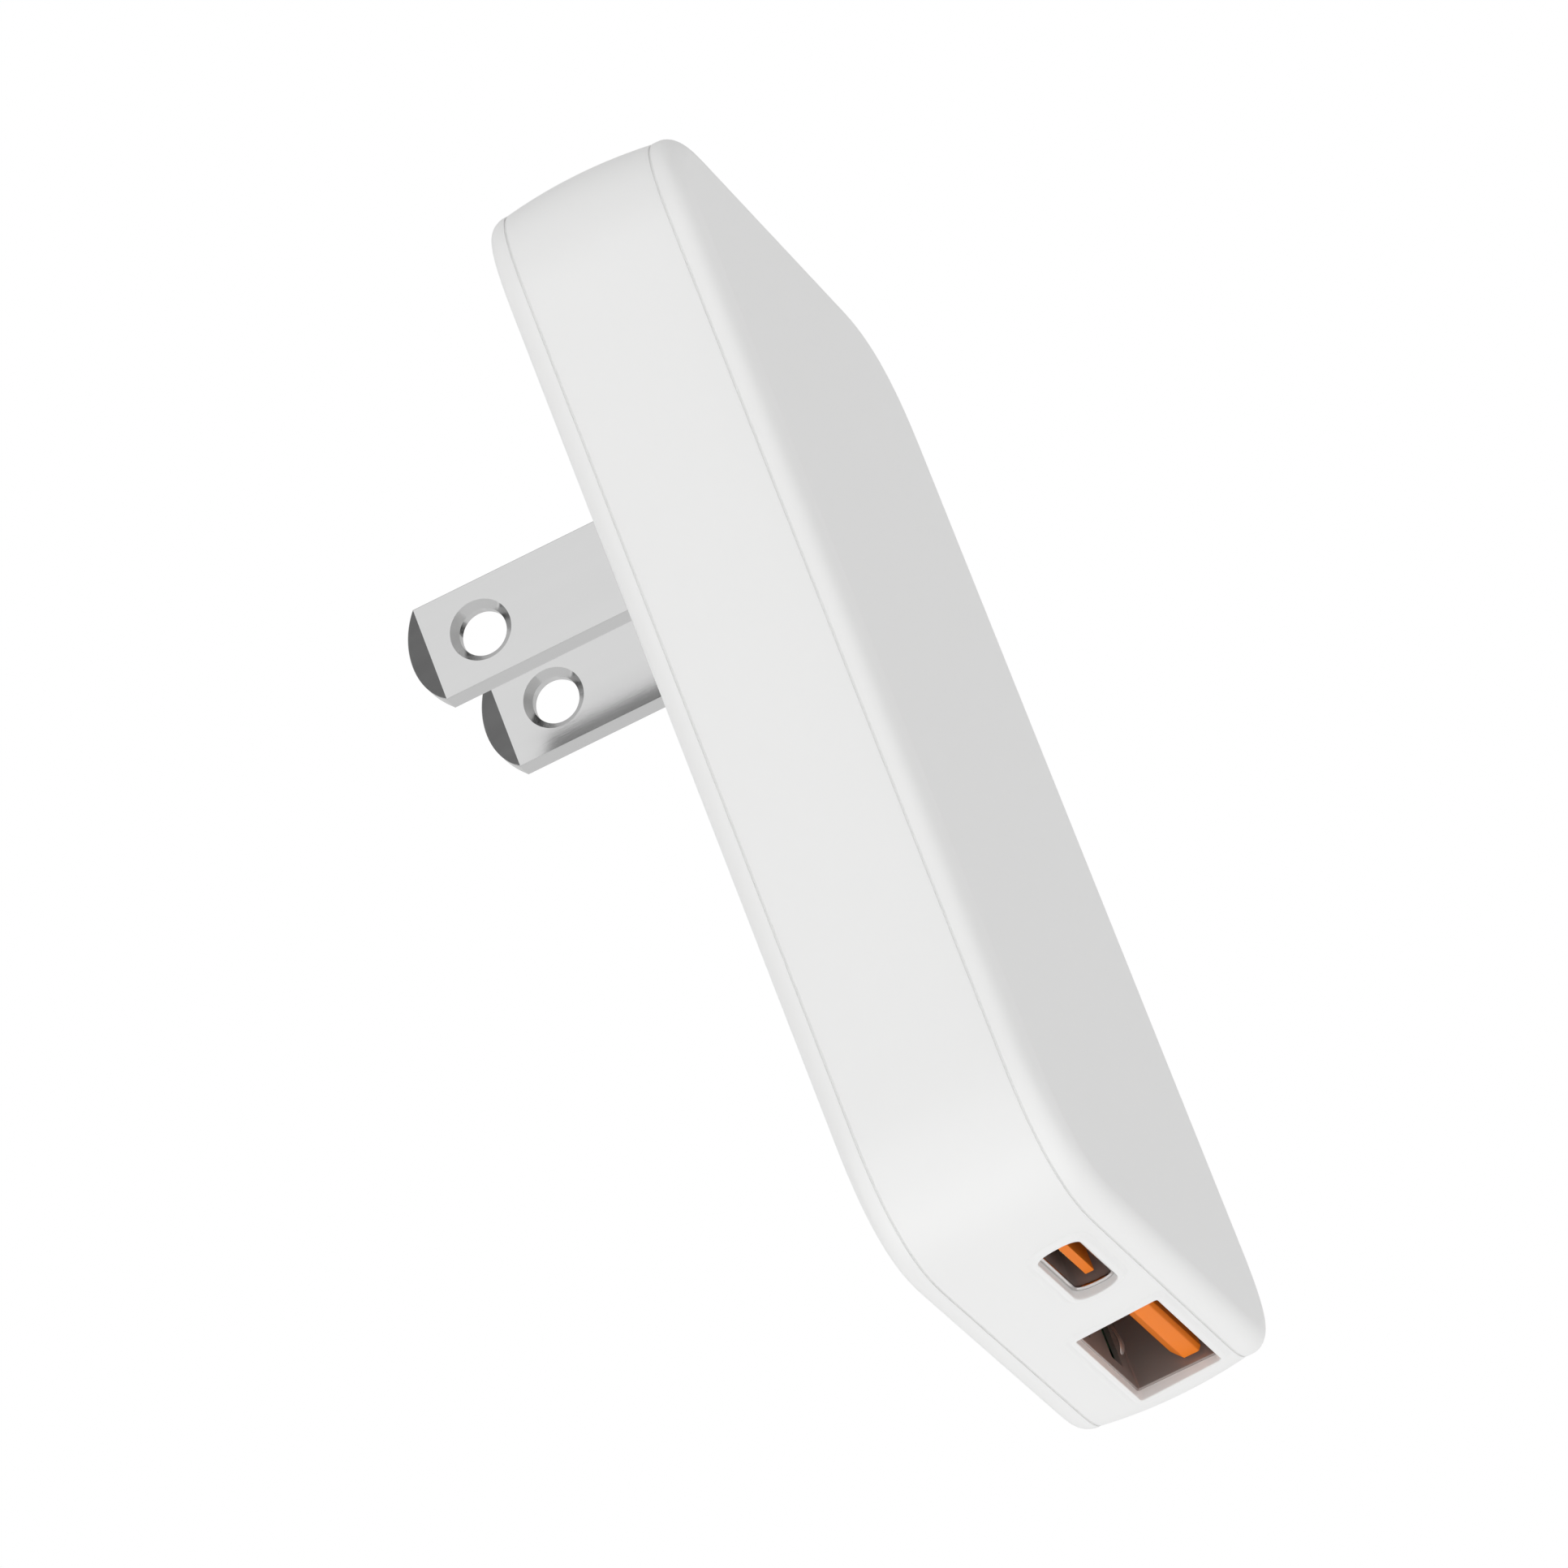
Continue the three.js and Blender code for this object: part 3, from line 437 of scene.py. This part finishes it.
def build_usb_a_shell():
    """The USB-A shell with a window for each of its two spring leaves."""
    shell = build_port_shell(PORT_A)
    wall = PORT_A.centre.y + PORT_A.half_y
    half_window = 1.1 * MM
    for side in (-1, 1):
        x = PORT_A.centre.x + side * LEAF_X
        start = Vector((x - half_window, wall - MM, PORT_A.mouth + 0.9 * MM))
        end = Vector((x + half_window, wall + MM, PORT_A.mouth + 6.5 * MM))
        boolean(shell, rounded_box("window", start, end, 0.15 * MM, axis="y"), "DIFFERENCE")
    return smooth(shell, 30)


def build_leaf(side):
    """A spring finger in a window of the USB-A shell, bent inwards near its free end."""
    wall = PORT_A.centre.y + PORT_A.half_y + 0.15 * MM
    x = PORT_A.centre.x + side * LEAF_X
    rings = []
    for level, dip, half in LEAF_LINE:
        y, z = wall + dip * MM, PORT_A.mouth + level * MM
        rings.append([
            (x - half * MM, y - LEAF_HALF_SHEET, z), (x + half * MM, y - LEAF_HALF_SHEET, z),
            (x + half * MM, y + LEAF_HALF_SHEET, z), (x - half * MM, y + LEAF_HALF_SHEET, z),
        ])
    leaf = loft("usb_a_leaf_left" if side < 0 else "usb_a_leaf_right", rings)
    bend = leaf.modifiers.new("bend", "SUBSURF")
    bend.levels = bend.render_levels = 2
    return smooth(settle(leaf), 60)


def build_usb_a_tongue():
    """The USB-A insulator: a wide tongue thinned at its end, on a base that fills the shell."""
    low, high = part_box("usb_a_tongue")
    centre = PORT_A.centre
    start = low.z
    front, back = centre.y - 1.95 * MM, centre.y - 0.11 * MM
    root = PORT_A.mouth + 9.6 * MM
    profile = [
        (front + 0.22 * MM, start), (back - 0.65 * MM, start), (back, start + 0.75 * MM),
        (back, root + MM), (front, root + MM), (front, start + 0.28 * MM),
    ]
    half = 5.8 * MM
    rings = [[(x, y, z) for y, z in profile] for x in (centre.x - half, centre.x + half)]
    tongue = loft("usb_a_insulator", rings)
    base = rounded_box(
        "base", Vector((low.x, low.y, root)), Vector((high.x, high.y, high.z)), 0.2 * MM,
    )
    boolean(tongue, base, "UNION")
    soften_edges(tongue, lambda p: p.z < root - MM, 0.07 * MM, 2)
    return smooth(tongue)


def build_usb_c_tongue():
    """The USB-C insulator: a thin tongue in the middle of the socket, on its base."""
    low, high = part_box("usb_c_tongue")
    centre = PORT_C.centre
    half_x, half_y = 3.35 * MM, 0.3 * MM
    root = PORT_C.mouth + 5.3 * MM
    tongue = rounded_box(
        "usb_c_insulator",
        Vector((centre.x - half_x, centre.y - half_y, low.z)),
        Vector((centre.x + half_x, centre.y + half_y, root + MM)), 0.12 * MM,
    )
    base = PORT_C.block("base", -0.1 * MM, root, high.z)
    boolean(tongue, base, "UNION")
    soften_edges(tongue, lambda p: p.z < root - MM, 0.06 * MM, 2)
    return smooth(tongue)


# ------------------------------------------------------------------ blades
def build_blade(side):
    """One plug blade: rounded edges, an arched bevelled tip and a countersunk hole."""
    low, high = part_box(f"blade_{side}")
    centre_x, half = (low.x + high.x) / 2, (high.x - low.x) / 2
    tip, bevel = high.y, TIP_BEVEL
    half_width = (high.z - low.z) / 2
    middle = (high.z + low.z) / 2
    shoulder = tip - bevel
    radius = (half_width**2 + bevel**2) / (2 * bevel)
    sweep = math.asin(half_width / radius)
    root, tang = AXIS.y, TANG_HALF
    outline = [(low.y, AXIS.z - tang), (root, AXIS.z - tang), (root, middle - half_width)]
    steps = 40
    for i in range(steps + 1):
        turn = -sweep + 2 * sweep * i / steps
        outline.append((tip - radius + radius * math.cos(turn), middle + radius * math.sin(turn)))
    outline += [(root, middle + half_width), (root, AXIS.z + tang), (low.y, AXIS.z + tang)]
    rings = [[(x, y, z) for y, z in outline] for x in (centre_x - half, centre_x + half)]
    blade = loft(f"plug_blade_{side}", rings)
    for turn in (-1, 1):
        boolean(blade, bevel_wedge(centre_x, turn, half, shoulder, tip, middle), "DIFFERENCE")
    soften_edges(blade, lambda p: p.y > root - MM, 0.05 * MM, 2)
    boolean(blade, hole_cutter(centre_x, half, middle), "DIFFERENCE")
    return smooth(blade, 12)


def bevel_wedge(centre_x, turn, half, shoulder, tip, middle):
    """What the slope at the tip takes off one face of a blade."""
    edge = TIP_EDGE
    slope = (half - edge) / (tip - shoulder)
    beyond = MM
    section = [
        (half + slope * beyond, shoulder - beyond), (half + 2 * MM, shoulder - beyond),
        (half + 2 * MM, tip + beyond), (edge - slope * beyond, tip + beyond),
    ]
    rings = [
        [(centre_x + turn * x, y, z) for x, y in section] for z in (middle - 5 * MM, middle + 5 * MM)
    ]
    return loft("wedge", rings)


def hole_cutter(centre_x, half, middle):
    """What the hole and its two countersinks take out of a blade."""
    radius, chamfer, reach = HOLE_RADIUS, HOLE_CHAMFER, BLADE_HOLE
    sides = 72
    over = 0.05 * MM
    profile = [
        (-half - over, radius + chamfer + over), (-half + chamfer, radius),
        (half - chamfer, radius), (half + over, radius + chamfer + over),
    ]
    rings = []
    for x, r in profile:
        rings.append([
            (centre_x + x, reach + r * math.cos(2 * math.pi * i / sides),
             middle + r * math.sin(2 * math.pi * i / sides)) for i in range(sides)
        ])
    return loft("hole", rings)


# ------------------------------------------------------------------ materials
def new_material(name):
    material = bpy.data.materials.new(name)
    material.use_nodes = True
    nodes, links = material.node_tree.nodes, material.node_tree.links
    return material, nodes, links, nodes["Principled BSDF"]


def shaded(name, color, roughness, metallic=0.0, grain=400.0, bump=0.02, spread=0.03,
           rough_spread=0.06, depth=0.02 * MM, coat=0.0, stretch=(1, 1, 1), specular=0.5):
    """A surface whose colour, roughness and relief vary softly with procedural noise."""
    material, nodes, links, shader = new_material(name)
    place = nodes.new("ShaderNodeTexCoord")
    scale = nodes.new("ShaderNodeMapping")
    scale.inputs["Scale"].default_value = stretch
    links.new(place.outputs["Object"], scale.inputs["Vector"])
    noise = nodes.new("ShaderNodeTexNoise")
    noise.inputs["Scale"].default_value = grain
    noise.inputs["Detail"].default_value = 4
    links.new(scale.outputs["Vector"], noise.inputs["Vector"])
    tint = nodes.new("ShaderNodeValToRGB")
    tint.color_ramp.elements[0].color = (*[c * (1 - spread) for c in color], 1)
    tint.color_ramp.elements[1].color = (*[min(c * (1 + spread), 1) for c in color], 1)
    links.new(noise.outputs["Fac"], tint.inputs["Fac"])
    links.new(tint.outputs["Color"], shader.inputs["Base Color"])
    rough = nodes.new("ShaderNodeMapRange")
    rough.inputs["To Min"].default_value = max(roughness - rough_spread, 0.02)
    rough.inputs["To Max"].default_value = min(roughness + rough_spread, 1)
    links.new(noise.outputs["Fac"], rough.inputs["Value"])
    links.new(rough.outputs["Result"], shader.inputs["Roughness"])
    fine = nodes.new("ShaderNodeTexNoise")
    fine.inputs["Scale"].default_value = grain * 12
    fine.inputs["Detail"].default_value = 2
    links.new(scale.outputs["Vector"], fine.inputs["Vector"])
    relief = nodes.new("ShaderNodeBump")
    relief.inputs["Strength"].default_value = bump
    relief.inputs["Distance"].default_value = depth
    links.new(fine.outputs["Fac"], relief.inputs["Height"])
    links.new(relief.outputs["Normal"], shader.inputs["Normal"])
    shader.inputs["Metallic"].default_value = metallic
    shader.inputs["Specular IOR Level"].default_value = specular
    shader.inputs["Coat Weight"].default_value = coat
    shader.inputs["Coat Roughness"].default_value = 0.15
    return material


def dress(obj, material):
    obj.data.materials.clear()
    obj.data.materials.append(material)


def install(obj, material, slot, body, *replaced):
    """Gives a finished piece its material, ties it to a body of the frame and hides the CAD parts that it
    replaces. The slot argument is not used.
    """
    dress(obj, material)
    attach(obj, body)
    if replaced:
        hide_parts(*replaced)


WHITE = shaded("white_plastic", (0.86, 0.86, 0.855), 0.36, grain=160, bump=0.05, spread=0.004,
               rough_spread=0.03)
INNER_WHITE = shaded("inner_plastic", (0.8, 0.8, 0.79), 0.5, bump=0.15, spread=0.01)
NICKEL = shaded("satin_nickel", (0.5, 0.5, 0.5), 0.14, metallic=1, grain=90, bump=0.05,
                stretch=(1, 1, 14), rough_spread=0.03, spread=0.02)
PORT_STEEL = shaded("port_steel", (0.36, 0.31, 0.29), 0.3, metallic=0.45, grain=120, spread=0.04)
BRIGHT_STEEL = shaded("bright_steel", (0.62, 0.6, 0.59), 0.12, metallic=1, grain=300)
ORANGE = shaded("orange_polymer", (0.92, 0.215, 0.003), 0.55, spread=0.02, bump=0.06, specular=0.25)
BRONZE = shaded("phosphor_bronze", (0.62, 0.36, 0.15), 0.28, metallic=1, spread=0.05)
GOLD = shaded("gold_flash", (0.82, 0.56, 0.2), 0.22, metallic=1)
BOARD = shaded("board_laminate", (0.02, 0.12, 0.06), 0.4, grain=260, spread=0.35, coat=0.4)
FERRITE = shaded("ferrite", (0.035, 0.035, 0.04), 0.75, grain=900, spread=0.3, bump=0.3)
TAPE = shaded("winding_tape", (0.62, 0.36, 0.04), 0.35, stretch=(1, 1, 9), spread=0.12)
EPOXY = shaded("chip_epoxy", (0.015, 0.015, 0.017), 0.55, grain=700, spread=0.2, bump=0.25)
CAN = shaded("can_aluminium", (0.72, 0.73, 0.74), 0.3, metallic=1, stretch=(9, 9, 1), spread=0.05)
COPPER = shaded("copper_wire", (0.6, 0.2, 0.07), 0.3, metallic=1, stretch=(1, 1, 20), spread=0.15)
YELLOW = shaded("film_yellow", (0.68, 0.42, 0.05), 0.45)
BLUE = shaded("disc_blue", (0.04, 0.14, 0.42), 0.3, spread=0.1)
BROWN = shaded("fuse_brown", (0.14, 0.06, 0.025), 0.45, spread=0.1)
SHEET = shaded("insulating_sheet", (0.78, 0.74, 0.6), 0.4)
SILICONE = shaded("silicone_pad", (0.26, 0.34, 0.45), 0.8, bump=0.3)
SPREADER = shaded("spreader_aluminium", (0.7, 0.71, 0.72), 0.35, metallic=1, stretch=(1, 1, 16))

SLOT_MATERIALS = {
    "case_plastic": WHITE, "inner_plastic": INNER_WHITE, "spring_bronze": BRONZE,
    "blade_nickel": NICKEL, "port_steel": PORT_STEEL, "port_insulator": ORANGE,
    "contact_gold": GOLD, "board_laminate": BOARD, "ferrite": FERRITE, "winding_tape": TAPE,
    "chip_epoxy": EPOXY, "can_aluminium": CAN, "copper_wire": COPPER, "film_yellow": YELLOW,
    "disc_blue": BLUE, "fuse_brown": BROWN, "sheet_insulator": SHEET, "pad_silicone": SILICONE,
    "spreader_aluminium": SPREADER,
}
for entry in frame["record"]["subparts"]:
    dress(frame["nodes"][entry["node"]], SLOT_MATERIALS[entry["material_slot"]])


# ------------------------------------------------------------------ building
install(build_mid_frame(), WHITE, "case_plastic", CASE, "mid_frame")
install(build_front_cover(), WHITE, "case_plastic", CASE, "front_cover")
install(build_rear_cover(), WHITE, "case_plastic", CASE, "rear_cover")
for socket in (PORT_A, PORT_C):
    install(build_rim(socket), WHITE, "case_plastic", CASE)
install(build_usb_a_shell(), PORT_STEEL, "port_steel", CASE, "usb_a_shell")
install(smooth(build_port_shell(PORT_C), 30), PORT_STEEL, "port_steel", CASE, "usb_c_shell")
install(build_mouth_ring(PORT_C), BRIGHT_STEEL, "port_steel", CASE)
for direction in (-1, 1):
    install(build_leaf(direction), PORT_STEEL, "port_steel", CASE)
install(build_usb_a_tongue(), ORANGE, "port_insulator", CASE, "usb_a_tongue")
install(build_usb_c_tongue(), ORANGE, "port_insulator", CASE, "usb_c_tongue")
for word in ("left", "right"):
    install(build_blade(word), NICKEL, "blade_nickel", PLUG, f"blade_{word}")


# ------------------------------------------------------------------ studio
FLOOR_Z = -0.42
FLOOR_HALF = 3
TENT_LEAN = (0.6, 0, 0.8)  # the tent's brightness changes along this direction
# place along TENT_LEAN from -1 to 1, and brightness there; the dark stops are the first flag
TENT = ((-1, 1.39), (-0.15, 1.39), (-0.05, 0.2), (0.2, 0.2), (0.36, 0.9), (1, 0.68))
FLAG_DIRECTION = (-0.1, -0.75, 0.654)  # middle of the second flag, over the front
FLAG_EDGE = 0.85  # cosine of the angle from its middle where the second flag begins
FLAG_CORE = 0.94  # and where it is fully dark
FLAG_LEVEL = 0.12


def build_floor():
    half = FLOOR_HALF
    floor = loft("floor", [
        [(-half, -half, z), (half, -half, z), (half, half, z), (-half, half, z)]
        for z in (FLOOR_Z - 0.01, FLOOR_Z)
    ])
    dress(floor, shaded("floor_paper", (0.88, 0.88, 0.88), 0.7, grain=3, spread=0.01, bump=0.0))


def along(nodes, links, place, direction):
    """How far a direction of the world points along the given one, from -1 to 1."""
    dot = nodes.new("ShaderNodeVectorMath")
    dot.operation = "DOT_PRODUCT"
    dot.inputs[1].default_value = direction
    links.new(place.outputs["Generated"], dot.inputs[0])
    return dot.outputs["Value"]


def build_world():
    """A bright tent round the object with two dark flags, which the metal reflects.
    Seen directly by the camera it is plain white; it lights the object with its own levels."""
    world = bpy.data.worlds.new("studio")
    bpy.context.scene.world = world
    world.use_nodes = True
    nodes, links = world.node_tree.nodes, world.node_tree.links
    background = nodes["Background"]
    background.inputs["Color"].default_value = (1, 1, 1, 1)
    place = nodes.new("ShaderNodeTexCoord")
    share = nodes.new("ShaderNodeMapRange")
    share.inputs["From Min"].default_value = -1
    links.new(along(nodes, links, place, TENT_LEAN), share.inputs["Value"])
    tent = nodes.new("ShaderNodeValToRGB")
    stops = tent.color_ramp.elements
    while len(stops) < len(TENT):
        stops.new(0.5)
    for stop, (place_on_ramp, level) in zip(stops, TENT):
        stop.position = (place_on_ramp + 1) / 2
        stop.color = (level, level, level, 1)
    links.new(share.outputs["Result"], tent.inputs["Fac"])
    flag = nodes.new("ShaderNodeMapRange")
    flag.interpolation_type = "SMOOTHSTEP"
    flag.inputs["From Min"].default_value = FLAG_EDGE
    flag.inputs["From Max"].default_value = FLAG_CORE
    flag.inputs["To Min"].default_value = 1
    flag.inputs["To Max"].default_value = FLAG_LEVEL
    links.new(along(nodes, links, place, FLAG_DIRECTION), flag.inputs["Value"])
    dimmed = nodes.new("ShaderNodeMath")
    dimmed.operation = "MULTIPLY"
    links.new(tent.outputs["Color"], dimmed.inputs[0])
    links.new(flag.outputs["Result"], dimmed.inputs[1])
    path = nodes.new("ShaderNodeLightPath")
    choose = nodes.new("ShaderNodeMix")
    choose.data_type = "FLOAT"
    links.new(path.outputs["Is Camera Ray"], choose.inputs["Factor"])
    links.new(dimmed.outputs["Value"], choose.inputs["A"])
    choose.inputs["B"].default_value = 1.0
    links.new(choose.outputs["Result"], background.inputs["Strength"])


def add_area(name, location, target, size, power):
    """A soft rectangular light that the camera doesn't see."""
    light = bpy.data.lights.new(name, "AREA")
    light.shape = "RECTANGLE"
    light.size, light.size_y = size
    light.energy = power
    obj = bpy.data.objects.new(name, light)
    obj.location = location
    obj.rotation_euler = (Vector(target) - Vector(location)).to_track_quat("-Z", "Y").to_euler()
    obj.visible_camera = False
    bpy.context.scene.collection.objects.link(obj)


AIM = Vector((-1.875, -1.312, -15.430)) * MM  # the point that the camera looks at
VIEW_DISTANCE = 783.5 * MM
VIEW_AZIMUTH = -79.04
VIEW_ELEVATION = 24.69
VIEW_ROLL = 21.38
LENS = 303.6
SENSOR = 36


def build_camera():
    camera = bpy.data.cameras.new("camera")
    camera.lens = LENS
    camera.sensor_width = SENSOR
    camera.clip_start = 0.01
    obj = bpy.data.objects.new("camera", camera)
    turn = (
        Matrix.Rotation(math.radians(VIEW_AZIMUTH), 3, "Z")
        @ Matrix.Rotation(math.radians(90 + VIEW_ELEVATION), 3, "X")
        @ Matrix.Rotation(math.radians(-VIEW_ROLL), 3, "Z")
    )
    forward = turn @ Vector((0, 0, -1))
    obj.matrix_world = Matrix.Translation(AIM - forward * VIEW_DISTANCE) @ turn.to_4x4()
    bpy.context.scene.collection.objects.link(obj)
    bpy.context.scene.camera = obj


build_floor()
build_world()
add_area("floor_wash", (0, 0, FLOOR_Z + 0.3), (0, 0, FLOOR_Z), (2 * FLOOR_HALF, 2 * FLOOR_HALF), 52)
build_camera()
bpy.context.scene.view_settings.view_transform = "Standard"
